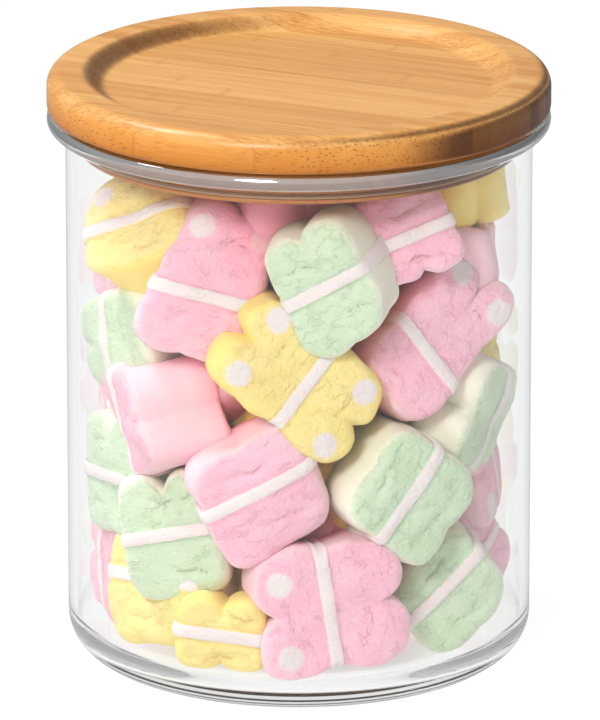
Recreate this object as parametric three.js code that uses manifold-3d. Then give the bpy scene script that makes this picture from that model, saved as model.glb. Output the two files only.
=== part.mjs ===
// A clear glass storage jar filled with butterfly-shaped marshmallows, shut by a dished bamboo lid.
// Millimetres, +Z up, the origin at the middle of the base, the front towards -Y.
import * as THREE from 'three';
import { mergeVertices } from 'three/addons/utils/BufferGeometryUtils.js';
import Module from 'manifold-3d';

const wasm = await Module();
wasm.setup();

// ---- driving dimensions -------------------------------------------------------------------------
const gap = 0.3; // clearance kept between neighbouring pieces

const bodyRadius = 64.9; // outside of the straight glass wall
const wall = 2.5;
const boreRadius = bodyRadius - wall;
const heelRadius = 11.75; // big rounded edge at the foot
const floorTop = 6.5; // thickness of the glass base
const innerHeel = 7.5;
const recessRadius = 46; // shallow hollow under the base
const recessDepth = 0.8;
const rimRadius = 70;
const rimTop = 157.1;
const rimHeight = 4.8; // round-edged bead at the mouth
const rimRounding = 2.3;
const underRim = 1; // hollow corner between the wall and the bead
const mouthRadius = 63.4; // inside edge of the mouth
const mouthSlopeEnd = 149.5; // where the mouth has narrowed to the bore
const glassSides = 60;

const lidRadius = 70;
const lidBottom = rimTop + gap;
const lidThickness = 10.5;
const lidTop = lidBottom + lidThickness;
const lidEdge = 4; // rounding of the upper outer edge
const lidUnderEdge = 1.6;
const ringInner = 61; // where the flat ring turns down into the dish
const dishRadius = 53; // flat floor of the dish
const dishDepth = 4;
const plugRadius = 60.8;
const plugBottom = 146.8;
const plugEdge = 1;
const lidSides = 60;

const gasketZ = 148.9; // middle of the sealing ring
const gasketHeight = 1.6;
const gasketInner = 59.6;
const grooveRoom = 0.5; // between the gasket and the bottom of its groove
const gasketOuter = boreRadius - 0.5;
const gasketSides = 40;

const fillRoom = 0.6; // kept between the marshmallows and the glass wall
const fillBottom = floorTop + 0.4;
const fillTop = plugBottom - 0.8;
const coreRadius = 41; // the packed middle of the heap
const coreSides = 20;

// ---- small helpers ------------------------------------------------------------------------------
const rad = THREE.MathUtils.degToRad;

// points of a round corner about (cx, cy), from angle a0 to a1 in degrees
function arc(cx, cy, r, a0, a1, steps) {
  return Array.from({ length: steps + 1 }, (_, i) => {
    const a = rad(a0 + ((a1 - a0) * i) / steps);
    return [cx + r * Math.cos(a), cy + r * Math.sin(a)];
  });
}

// smooth S-shaped step from (r0, z0) to (r1, z1)
function easeStep(r0, z0, r1, z1, steps) {
  return Array.from({ length: steps + 1 }, (_, i) => {
    const t = i / steps;
    return [r0 + (r1 - r0) * t, z0 + (z1 - z0) * t * t * (3 - 2 * t)];
  });
}

// a closed turned solid; LatheGeometry turns about Y, so the profile is tipped up to +Z afterwards
function turned(profile, sides) {
  const outline = profile.map(([r, z]) => new THREE.Vector2(r, z));
  return new THREE.LatheGeometry(outline, sides).rotateX(Math.PI / 2);
}

function solidFromGeometry(geometry) {
  geometry.deleteAttribute('normal');
  geometry.deleteAttribute('uv');
  const merged = mergeVertices(geometry, 1e-4);
  return new wasm.Manifold(new wasm.Mesh({
    numProp: 3,
    vertProperties: new Float32Array(merged.attributes.position.array),
    triVerts: new Uint32Array(merged.index.array),
  }));
}

function geometryFromSolid(solid) {
  const mesh = solid.getMesh();
  const geometry = new THREE.BufferGeometry();
  geometry.setAttribute('position', new THREE.BufferAttribute(new Float32Array(mesh.vertProperties), 3));
  geometry.setIndex(new THREE.BufferAttribute(new Uint32Array(mesh.triVerts), 1));
  geometry.computeVertexNormals();
  return geometry;
}

function part(name, geometry, colour, roughness, more = {}) {
  const mesh = new THREE.Mesh(geometry,
    new THREE.MeshStandardMaterial({ color: colour, roughness, metalness: 0, ...more }));
  mesh.name = name;
  return mesh;
}

// ---- glass jar ----------------------------------------------------------------------------------
function jarGeometry() {
  const beadBottom = rimTop - rimHeight;
  const profile = [
    [0, recessDepth],
    [recessRadius, recessDepth],
    [recessRadius + 2, 0],
    ...arc(bodyRadius - heelRadius, heelRadius, heelRadius, -90, 0, 5),
    [bodyRadius, beadBottom - underRim],
    [bodyRadius + underRim, beadBottom],
    ...arc(rimRadius - rimRounding, beadBottom + rimRounding, rimRounding, -90, 0, 2),
    ...arc(rimRadius - rimRounding, rimTop - rimRounding, rimRounding, 0, 90, 2),
    [mouthRadius + 1.2, rimTop],
    [mouthRadius, rimTop - 1.2],
    [boreRadius, mouthSlopeEnd],
    ...arc(boreRadius - innerHeel, floorTop + innerHeel, innerHeel, 0, -90, 4),
    [0, floorTop],
  ];
  return turned(profile, glassSides);
}

// ---- bamboo lid: plate with a shallow dish on top and a plug that goes into the neck --------------
function lidGeometry() {
  const grooveTop = gasketZ + gasketHeight / 2 + gap;
  const grooveBottom = gasketZ - gasketHeight / 2 - gap;
  const grooveRadius = gasketInner - grooveRoom;
  const profile = [
    [0, plugBottom],
    [plugRadius - plugEdge, plugBottom],
    [plugRadius, grooveBottom - 0.2],
    [grooveRadius, grooveBottom],
    [grooveRadius, grooveTop],
    [plugRadius, grooveTop],
    [plugRadius, lidBottom],
    [lidRadius - lidUnderEdge, lidBottom],
    [lidRadius, lidBottom + lidUnderEdge],
    ...arc(lidRadius - lidEdge, lidTop - lidEdge, lidEdge, 0, 90, 4),
    ...easeStep(ringInner, lidTop, dishRadius, lidTop - dishDepth, 4),
    [0, lidTop - dishDepth],
  ];
  return turned(profile, lidSides);
}

// ---- sealing ring in the groove of the plug -------------------------------------------------------
function gasketGeometry() {
  const low = gasketZ - gasketHeight / 2;
  const high = gasketZ + gasketHeight / 2;
  const profile = [
    [gasketInner, low],
    [gasketOuter - 0.5, low],
    [gasketOuter, gasketZ],
    [gasketOuter - 0.5, high],
    [gasketInner, high],
    [gasketInner, low],
  ];
  return turned(profile, gasketSides);
}

// ---- marshmallows -------------------------------------------------------------------------------
// Each is a butterfly outline carried along its thickness. The outline is a rounded square of half-size 1
// with a V-shaped notch between each two wing tips; nearWing and farWing stretch its two halves.
const outlineAngles = [0, 18, 36, 54, 72];
const tipPower = 4; // squareness of the wings
const bodyNotch = { depth: 0.25, width: 24 }; // at both ends of the white stripe
const sideNotch = { depth: 0.19, width: 22 }; // between the two tips of one wing pair
const rimInset = 0.84; // size of the cut face against the middle of the side
const rimDrop = 0.62; // height, in half thicknesses, where the side is at full width

function notch(angle, at, shape) {
  const away = Math.abs(((angle - at + 540) % 360) - 180);
  return shape.depth * Math.pow(Math.max(0, 1 - away / shape.width), 1.7);
}

function outlineRadius(angle, dents) {
  const c = Math.abs(Math.cos(rad(angle)));
  const s = Math.abs(Math.sin(rad(angle)));
  return Math.pow(c ** tipPower + s ** tipPower, -1 / tipPower)
    - dents[0] * notch(angle, 180, sideNotch) - dents[1] * notch(angle, 0, sideNotch)
    - dents[2] * (notch(angle, 90, bodyNotch) + notch(angle, 270, bodyNotch));
}

// local points of one marshmallow as [ring][point], x across the wings, y along the stripe, z thick
function sweetRings(sweet) {
  const angles = [0, 90, 180, 270].flatMap((quarter) => outlineAngles.map((a) => quarter + a));
  const rings = [[rimInset, -1], [1, -rimDrop], [1, rimDrop], [rimInset, 1]];
  return rings.map(([size, level]) => angles.map((angle) => {
    const r = size * outlineRadius(angle, sweet.dents);
    const side = Math.cos(rad(angle));
    const x = r * side * (side < 0 ? sweet.nearWing : sweet.farWing);
    const y = r * Math.sin(rad(angle)) * sweet.halfLength + sweet.skew * x;
    return new THREE.Vector3(x, y, (level * sweet.thickness) / 2);
  }));
}

// facing: plan angle of the cut face from the front; tilt: how far it looks up; roll: turn of the stripe
function sweetTurn(sweet) {
  const a = rad(sweet.facing);
  const b = rad(sweet.tilt);
  const face = new THREE.Vector3(Math.sin(a) * Math.cos(b), -Math.cos(a) * Math.cos(b), Math.sin(b));
  const up = new THREE.Vector3(-Math.sin(a) * Math.sin(b), Math.cos(a) * Math.sin(b), Math.cos(b));
  return new THREE.Matrix4()
    .makeBasis(new THREE.Vector3().crossVectors(up, face), up, face)
    .multiply(new THREE.Matrix4().makeRotationZ(rad(sweet.roll)));
}

// how far from the axis a marshmallow may reach at height z: the bore, then the rounded inner heel
function fillRadius(z) {
  const below = Math.max(0, floorTop + innerHeel - z);
  return boreRadius - fillRoom - innerHeel + Math.sqrt(Math.max(0, innerHeel ** 2 - below ** 2));
}

// The sweet is lifted or lowered to stay between the glass base and the plug, then slid outwards from
// the jar's axis until one of its points meets the fill radius, less the sweet's own inset.
function placedRings(sweet) {
  const turn = sweetTurn(sweet);
  const rings = sweetRings(sweet).map((ring) => ring.map((p) => p.applyMatrix4(turn)));
  const points = rings.flat();
  const low = fillBottom - Math.min(...points.map((p) => p.z));
  const high = fillTop - Math.max(...points.map((p) => p.z));
  const height = Math.min(Math.max(sweet.height, low), high);
  const [ex, ey] = [Math.sin(rad(sweet.turn)), -Math.cos(rad(sweet.turn))];
  const reach = Math.min(...points.map((p) => {
    const limit = fillRadius(p.z + height) - sweet.inset;
    const along = p.x * ex + p.y * ey;
    const across = p.x * ey - p.y * ex;
    return Math.sqrt(Math.max(0, limit * limit - across * across)) - along;
  }));
  const centre = new THREE.Vector3(ex * reach, ey * reach, height);
  return { centre, rings: rings.map((ring) => ring.map((p) => p.add(centre))) };
}

function sweetSolid(rings) {
  const count = rings[0].length;
  const vertices = [...rings.flat()];
  const faces = [];
  for (let ring = 0; ring < rings.length - 1; ring += 1) {
    for (let i = 0; i < count; i += 1) {
      const a = ring * count + i;
      const b = ring * count + ((i + 1) % count);
      faces.push([a, b, b + count], [a, b + count, a + count]);
    }
  }
  const middle = (ring) => ring.reduce((sum, p) => sum.add(p), new THREE.Vector3()).divideScalar(count);
  vertices.push(middle(rings[0]), middle(rings[rings.length - 1]));
  const last = (rings.length - 1) * count;
  for (let i = 0; i < count; i += 1) {
    const j = (i + 1) % count;
    faces.push([vertices.length - 2, j, i], [vertices.length - 1, last + i, last + j]);
  }
  return new wasm.Manifold(new wasm.Mesh({
    numProp: 3,
    vertProperties: new Float32Array(vertices.flatMap((p) => [p.x, p.y, p.z])),
    triVerts: new Uint32Array(faces.flat()),
  }));
}

// The marshmallows that lie against the front half of the glass, as
// [turn round the jar, height, facing, tilt, roll, nearWing, farWing, halfLength, thickness,
//  skew, inset from the glass, dents of the near wings, the far wings and the body]
const frontSweets = [
  [8, 27, 10, 6, 8, 20, 22, 19, 21, 0, 0, [1, 1, 1]],
  [-37, 114, 0, 11, -105, 26, 18, 15, 22, -0.15, 0, [0.4, 0.3, 0.5]],
  [-1, 92, 14, 5, -39, 25, 22, 15.5, 23, -0.07, 0, [1, 0.8, 1]],
  [50, 95, 25, 10, -145, 30, 17, 14, 22, 0.1, 0, [1.1, 0.2, 0.6]],
  [11, 122, -14, -4, -59, 17, 18, 14, 22, -0.06, 0, [0.7, 0.2, 0.5]],
  [-15, 63, 3, 1, -62, 14, 20, 17, 23, -0.07, 0, [0.3, 0.2, 0.3]],
  [34, 59, 24, 3, -38, 15, 18, 16, 21, -0.08, 0, [0.2, 0.2, 0.35]],
  [-48, 44, -10, 11, -78, 17, 19, 14, 23, 0.04, 0, [1.1, 0.2, 0.4]],
  [-24, 18, -8, 7, -95, 10.5, 11.5, 12.5, 17, 0.05, 0, [1, 0.9, 0.2]],
  [59, 25, 12, 0, -45, 11, 17, 15, 22, -0.1, 0, [0.2, 0.2, 0.3]],
  [75, 73, 68, -15, -24, 19, 20, 16, 17, 0, 0, [1, 0.3, 0.5]],
  [-66, 127, -44, 40, -58, 18, 14, 17, 19, 0.05, 0, [0.4, 0.3, 0.4]],
  [-81, 94, -58, -4, 14, 19, 20, 14, 23, 0.1, 0, [0.8, 0.6, 0.6]],
  [-58, 76, -75, -10, 22, 19, 20, 15, 26, -0.08, 0, [0.3, 0.3, 0.4]],
  [-78, 54, -63, 3, -83, 17, 17, 18, 23, 0, 1, [0.9, 0.3, 0.5]],
  [-52, 25, -46, 18, -84, 17, 18, 17, 22, 0.05, 3, [0.8, 0.2, 0.4]],
  [44, 130, 7, 16, -69, 14, 12, 13.5, 21, 0.06, 3, [0.3, 0.7, 0.5]],
  [-101, 114, -72, 4, 86, 18, 18, 16, 20, 0, 0, [0.9, 0.9, 0.7]],
  [-104, 75, -70, 6, 8, 18, 18, 16, 20, 0, 0, [0.9, 0.9, 0.7]],
  [-91, 26, -70, 3, 4, 19, 18, 17, 21, 0, 0, [1, 1, 0.7]],
  [-3, 136, -60, 86, -100, 18, 18, 16, 20, 0, 12, [0.8, 0.8, 0.7]],
  [90, 136, 60, -82, -70, 17, 17, 15, 20, 0, 3, [0.6, 0.6, 0.7]],
  [121, 134, 74, 0, 4, 15, 15, 13, 19, 0, 0, [0.8, 0.8, 0.7]],
  [83, 115, 6, -78, -80, 17, 17, 15, 20, 0, 5, [0.6, 1, 0.7]],
  [112, 113, 72, 2, 86, 18, 18, 16, 20, 0, 0, [0.9, 0.9, 0.7]],
  [106, 83, 60, 8, -4, 18, 18, 16, 21, 0, 0, [0.7, 0.7, 0.7]],
  [99, 53, 80, 5, 6, 18, 18, 17, 21, 0, 0, [0.9, 0.8, 0.7]],
  [88, 25, 58, 6, -62, 19, 17, 17, 21, 0.1, 0, [0.5, 0.7, 0.7]],
].map(([turn, height, facing, tilt, roll, nearWing, farWing, halfLength, thickness, skew, inset, dents]) => (
  { turn, height, facing, tilt, roll, nearWing, farWing, halfLength, thickness, skew, inset, dents }));

const deepInset = 10; // a marshmallow set in this far is left to the core on the hidden side
const sharedDistance = 23; // a repeat closer than this to another one is left out
const spareDistance = 26; // the same for the ones that fill what stays open

// repeatable draws from 0 to 1
let drawState = 20261;
function draw() {
  drawState = (drawState * 48271) % 2147483647;
  return drawState / 2147483647;
}

function closest(centre, placed) {
  return Math.min(...placed.map((other) => centre.distanceTo(other.centre)));
}

// The hidden half repeats the front one turned half round; loose ones then fill the spaces that are left.
function placeSweets() {
  const placed = frontSweets.map(placedRings);
  for (const sweet of frontSweets.filter((one) => one.inset < deepInset)) {
    const behind = placedRings({ ...sweet, turn: sweet.turn + 180, facing: sweet.facing + 180 });
    if (closest(behind.centre, placed) > sharedDistance) {
      placed.push(behind);
    }
  }
  for (let level = 0; level < 6; level += 1) {
    for (let step = 0; step < 16; step += 1) {
      const turn = step * 22.5 + 22.5 * draw();
      const height = 18 + level * 22 + 8 * draw();
      const sweet = {
        turn,
        height,
        facing: turn - 50 + 100 * draw(),
        tilt: -25 + 60 * draw(),
        roll: 360 * draw(),
        nearWing: 17,
        farWing: 18,
        halfLength: 15.5,
        thickness: 20,
        skew: 0,
        inset: 2 * draw(),
        dents: [0.8, 0.6, 0.7],
      };
      const extra = placedRings(sweet);
      if (closest(extra.centre, placed) > spareDistance) {
        placed.push(extra);
      }
    }
  }
  return placed;
}

function marshmallowGeometry() {
  const middle = [
    [0, fillBottom + 4],
    [coreRadius * 0.8, fillBottom + 4],
    [coreRadius, fillBottom + 18],
    [coreRadius, fillTop - 18],
    [coreRadius * 0.8, fillTop - 3],
    [0, fillTop - 2],
  ];
  const sweets = placeSweets().map(({ rings }) => sweetSolid(rings));
  const joined = sweets.reduce((sum, sweet) => sum.add(sweet), solidFromGeometry(turned(middle, coreSides)));
  // the outermost shell alone, so that no hollow is shut in between the sweets
  const [heap] = joined.decompose().sort((a, b) => b.volume() - a.volume());
  return geometryFromSolid(heap);
}

// ---- the whole ----------------------------------------------------------------------------------
const jarOfMarshmallows = new THREE.Group();
jarOfMarshmallows.add(
  part('jar', jarGeometry(), 0xe8eeee, 0.03, { transparent: true, opacity: 0.3 }),
  part('lid', lidGeometry(), 0xe0a868, 0.55),
  part('gasket', gasketGeometry(), 0xe4e0d8, 0.45, { transparent: true, opacity: 0.7 }),
  part('marshmallows', marshmallowGeometry(), 0xf4c4cc, 0.9),
);

export default jarOfMarshmallows;
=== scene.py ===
import math

import bpy
import numpy as np
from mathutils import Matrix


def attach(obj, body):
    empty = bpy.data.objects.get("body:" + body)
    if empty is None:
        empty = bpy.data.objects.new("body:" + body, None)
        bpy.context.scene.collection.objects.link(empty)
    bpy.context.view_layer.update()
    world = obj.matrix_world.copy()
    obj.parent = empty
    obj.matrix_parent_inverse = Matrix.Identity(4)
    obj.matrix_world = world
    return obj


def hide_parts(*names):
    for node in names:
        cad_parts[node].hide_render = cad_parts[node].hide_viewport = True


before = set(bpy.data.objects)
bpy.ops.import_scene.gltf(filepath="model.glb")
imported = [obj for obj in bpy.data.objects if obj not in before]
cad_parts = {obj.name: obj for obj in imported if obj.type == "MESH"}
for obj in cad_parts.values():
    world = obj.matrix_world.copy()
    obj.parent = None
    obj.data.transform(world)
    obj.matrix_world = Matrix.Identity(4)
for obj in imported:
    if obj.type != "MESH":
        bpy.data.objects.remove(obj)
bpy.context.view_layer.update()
print("packed model loaded")

mm = 0.001

# the camera stands 2.7 m away and looks down on the jar, as in the photo
camera = {"elevation": 17.33, "distance": 2.6848, "lookAtHeight": 0.08354, "lens": 479.9,
          "sensorHeight": 36, "shiftRight": 0.0015}


def makeCamera(spec):
    tilt = math.radians(spec["elevation"])
    data = bpy.data.cameras.new("camera")
    data.sensor_fit = "VERTICAL"
    data.sensor_height = spec["sensorHeight"]
    data.lens = spec["lens"]
    data.shift_x = spec["shiftRight"]
    data.clip_end = 20
    holder = bpy.data.objects.new("camera", data)
    holder.location = (0, -spec["distance"] * math.cos(tilt),
                       spec["lookAtHeight"] + spec["distance"] * math.sin(tilt))
    holder.rotation_euler = (math.pi / 2 - tilt, 0, 0)
    bpy.context.collection.objects.link(holder)
    bpy.context.scene.camera = holder


makeCamera(camera)


def meshPiece(name, points, faces, material, smooth=True):
    mesh = bpy.data.meshes.new(name)
    mesh.from_pydata(points.tolist(), [], faces)
    mesh.polygons.foreach_set("use_smooth", np.full(len(mesh.polygons), smooth))
    mesh.materials.append(material)
    mesh.update()
    piece = bpy.data.objects.new(name, mesh)
    bpy.context.collection.objects.link(piece)
    return piece


def arc(cx, cy, radius, start, end, steps):
    # points on a circle about (cx, cy), from the start angle to the end angle in degrees
    a = np.radians(np.linspace(start, end, steps + 1))
    return np.column_stack([cx + radius * np.cos(a), cy + radius * np.sin(a)])


def easeStep(r0, z0, r1, z1, steps):
    # an S-shaped drop from (r0, z0) to (r1, z1): z follows 3t^2 - 2t^3 while r goes evenly
    t = np.linspace(0, 1, steps + 1)
    return np.column_stack([r0 + (r1 - r0) * t, z0 + (z1 - z0) * t * t * (3 - 2 * t)])


def holdStraights(profile, longRun=2.0, hold=0.25):
    # a straight run gets a ring a little way in from each end, so that its shading stays straight
    parts = [profile[:1]]
    for start, end in zip(profile[:-1], profile[1:]):
        run = np.linalg.norm(end - start)
        if run > longRun:
            parts.append(start + (end - start) * np.array([[hold / run], [1 - hold / run]]))
        parts.append(end[None, :])
    return np.vstack(parts)


def turnedPiece(name, profile, sides, material):
    # profile radius r and height z in mm, carried round the axis: (r cos a, r sin a, z);
    # a profile that begins and ends on the axis is closed by one point at each end, any other by itself
    profile = np.vstack([np.atleast_2d(part) for part in profile])
    keep = np.r_[True, np.linalg.norm(np.diff(profile, axis=0), axis=1) > 1e-6]
    profile = holdStraights(profile[keep])
    onAxis = profile[0, 0] < 1e-9
    ring = profile[1:-1] if onAxis else profile[:-1]
    a = np.linspace(0, 2 * math.pi, sides, endpoint=False)
    points = np.stack([ring[:, :1] * np.cos(a), ring[:, :1] * np.sin(a),
                       np.repeat(ring[:, 1:], sides, axis=1)], axis=-1).reshape(-1, 3)
    count = len(ring)
    row = np.arange(count - 1 if onAxis else count)[:, None] * sides
    nextRow = (np.arange(1, count) if onAxis else (np.arange(count) + 1) % count)[:, None] * sides
    i = np.arange(sides)[None, :]
    j = (i + 1) % sides
    faces = np.stack([row + i, row + j, nextRow + j, nextRow + i], axis=-1).reshape(-1, 4).tolist()
    if onAxis:
        points = np.vstack([points, [0, 0, profile[0, 1]], [0, 0, profile[-1, 1]]])
        last = (count - 1) * sides
        i, j = np.arange(sides), (np.arange(sides) + 1) % sides
        first = np.column_stack([np.full(sides, len(points) - 2), j, i])
        end = np.column_stack([np.full(sides, len(points) - 1), last + i, last + j])
        faces += first.tolist() + end.tolist()
    return meshPiece(name, points * mm, faces, material)


def newMaterial(name):
    material = bpy.data.materials.new(name)
    material.use_nodes = True
    return material, material.node_tree, material.node_tree.nodes["Principled BSDF"]


def addNode(tree, kind, inputs=None, **settings):
    made = tree.nodes.new(kind)
    for key, value in settings.items():
        setattr(made, key, value)
    for key, value in (inputs or {}).items():
        if isinstance(value, bpy.types.NodeSocket):
            tree.links.new(value, made.inputs[key])
        else:
            made.inputs[key].default_value = value
    return made


def maths(tree, operation, a, b=0.0, c=0.0):
    return addNode(tree, "ShaderNodeMath", {0: a, 1: b, 2: c}, operation=operation).outputs[0]


def vectorMaths(tree, operation, *values):
    made = addNode(tree, "ShaderNodeVectorMath", dict(enumerate(values)), operation=operation)
    return made.outputs["Value" if operation in ("DOT_PRODUCT", "LENGTH") else "Vector"]


def objectPlace(tree):
    # every piece stands at the origin, so this is the place in the jar, in metres
    return addNode(tree, "ShaderNodeTexCoord").outputs["Object"]


def fade(tree, value, low, high, start=0.0, end=1.0):
    # smooth step of value from start at low to end at high
    ends = {"Value": value, "From Min": low, "From Max": high, "To Min": start, "To Max": end}
    made = addNode(tree, "ShaderNodeMapRange", ends, interpolation_type="SMOOTHSTEP")
    return made.outputs["Result"]


def blendColour(tree, factor, first, second):
    made = addNode(tree, "ShaderNodeMix", data_type="RGBA")
    for socket, value in (("Factor_Float", factor), ("A_Color", first), ("B_Color", second)):
        target = next(one for one in made.inputs if one.identifier == socket)
        if isinstance(value, bpy.types.NodeSocket):
            tree.links.new(value, target)
        else:
            target.default_value = value
    return next(one for one in made.outputs if one.identifier == "Result_Color")


def noise(tree, place, scale, detail=2.0, roughness=0.5):
    made = addNode(tree, "ShaderNodeTexNoise", {"Vector": place, "Scale": scale, "Detail": detail,
                                                "Roughness": roughness})
    return made.outputs["Fac"]


def bump(tree, height, shader):
    # the height is in mm
    made = addNode(tree, "ShaderNodeBump", {"Height": height, "Distance": mm, "Strength": 1.0})
    tree.links.new(made.outputs["Normal"], shader.inputs["Normal"])


def ride(piece, slot, *nodes):
    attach(piece, "root")
    if nodes:
        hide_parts(*nodes)


jar = {
    "bodyRadius": 64.9, "boreRadius": 62.4, "heelRadius": 11.75, "innerHeel": 7.5, "floorTop": 6.5,
    "recessRadius": 46, "recessDepth": 0.8, "rimRadius": 70, "rimTop": 157.1, "rimHeight": 4.8,
    "underRim": 1.0, "beadRounding": 2.3, "mouthRadius": 63.4, "mouthRounding": 1.2, "mouthSlopeEnd": 149.5,
    "recessSlope": 2, "sides": 240, "refraction": 1.47, "tint": (0.964, 0.972, 0.97, 1),
    "depth": 1.6, "depthColour": (0.0, 0.12, 0.12, 1), "reflection": 0.08,
    "rimColours": ((0.86, 0.89, 0.90, 1), (0.94, 0.96, 0.97, 1)), "shine": 0.48,
}


def letLightThrough(tree, shader, colour):
    # lamps and bounced light go straight through the thin glass
    path = addNode(tree, "ShaderNodeLightPath")
    through = maths(tree, "MAXIMUM", path.outputs["Is Shadow Ray"], path.outputs["Is Diffuse Ray"])
    clear = addNode(tree, "ShaderNodeBsdfTransparent", {"Color": colour})
    mixed = addNode(tree, "ShaderNodeMixShader", {0: through, 1: shader.outputs[0], 2: clear.outputs[0]})
    tree.links.new(mixed.outputs[0], tree.nodes["Material Output"].inputs["Surface"])


def glassMaterial(spec):
    material, tree, shader = newMaterial("clearGlass")
    shader.inputs["Base Color"].default_value = spec["tint"]
    shader.inputs["Roughness"].default_value = 0.0
    shader.inputs["IOR"].default_value = spec["refraction"]
    shader.inputs["Transmission Weight"].default_value = 1.0
    shader.inputs["Specular IOR Level"].default_value = spec["reflection"]
    letLightThrough(tree, shader, (0.98, 0.985, 0.985, 1))
    # seen edge on, the wall is greyer
    depth = addNode(tree, "ShaderNodeVolumeAbsorption",
                    {"Color": spec["depthColour"], "Density": spec["depth"]})
    tree.links.new(depth.outputs[0], tree.nodes["Material Output"].inputs["Volume"])
    return material


def rimMaterial(spec):
    # the thick bead gathers the light of the whole room, so about half of it shines like silver
    material, tree, shader = newMaterial("rimGlass")
    place = objectPlace(tree)
    cloud = noise(tree, place, 40.0, 2.0)
    colour = blendColour(tree, cloud, *spec["rimColours"])
    tree.links.new(colour, shader.inputs["Base Color"])
    tree.links.new(fade(tree, cloud, 0.3, 0.7, 0.03, 0.09), shader.inputs["Roughness"])
    shader.inputs["IOR"].default_value = spec["refraction"]
    shader.inputs["Metallic"].default_value = spec["shine"]
    shader.inputs["Transmission Weight"].default_value = 1.0
    letLightThrough(tree, shader, (0.9, 0.9, 0.9, 1))
    return material


def makeJar(spec):
    rimBottom = spec["rimTop"] - spec["rimHeight"]
    body, bore, rim, top = spec["bodyRadius"], spec["boreRadius"], spec["rimRadius"], spec["rimTop"]
    bead, under, lip = spec["beadRounding"], spec["underRim"], spec["mouthRounding"]
    foot, recess, depth = spec["heelRadius"], spec["recessRadius"], spec["recessDepth"]
    profile = [
        [0, depth],
        [recess - 1, depth],
        easeStep(recess, depth, recess + spec["recessSlope"], 0, 4),
        arc(body - foot, foot, foot, -90, 0, 16),
        arc(body + under, rimBottom - under, under, 180, 90, 6),
        arc(rim - bead, rimBottom + bead, bead, -90, 0, 10),
        arc(rim - bead, top - bead, bead, 0, 90, 10),
        arc(spec["mouthRadius"] + lip, top - lip, lip, 90, 180, 6),
        [bore, spec["mouthSlopeEnd"]],
        arc(bore - spec["innerHeel"], spec["floorTop"] + spec["innerHeel"], spec["innerHeel"], 0, -90, 10),
        [0, spec["floorTop"]],
    ]
    piece = turnedPiece("glassJar", profile, spec["sides"], glassMaterial(spec))
    piece.data.materials.append(rimMaterial(spec))
    middles = np.empty(len(piece.data.polygons) * 3)
    piece.data.polygons.foreach_get("center", middles)
    middles = middles.reshape(-1, 3) / mm
    fromAxis = np.hypot(middles[:, 0], middles[:, 1])
    onBead = (fromAxis > body + under * 0.7) & (middles[:, 2] > rimBottom - under)
    piece.data.polygons.foreach_set("material_index", onBead.astype(np.int32))
    ride(piece, "glass", "jar")
    print("glass jar made")


makeJar(jar)

lid = {
    "radius": 70, "bottom": 157.4, "top": 167.9, "edge": 4.0, "underEdge": 1.6, "ringInner": 61,
    "dishRadius": 53, "dishDepth": 4, "plugRadius": 60.8, "plugBottom": 146.8, "plugEdge": 1.0,
    "grooveZ": 148.9, "grooveHeight": 1.3, "grooveRadius": 59.1, "sides": 240,
    "grainTurn": 25, "stripWidth": 6.8, "stripStart": 0.4,
    "light": (0.72, 0.40, 0.135, 1), "deep": (0.47, 0.18, 0.033, 1), "edgeShadeColour": (0.68, 0.25, 0.025, 1),
    "lowEdgeShade": (0.42, 0.12, 0.008, 1), "endGrainAndShade": (0.045, 0.008, 0.001, 1),
    "specular": 0.08, "coat": 0.5, "coatRoughness": 0.3,
}


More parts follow.
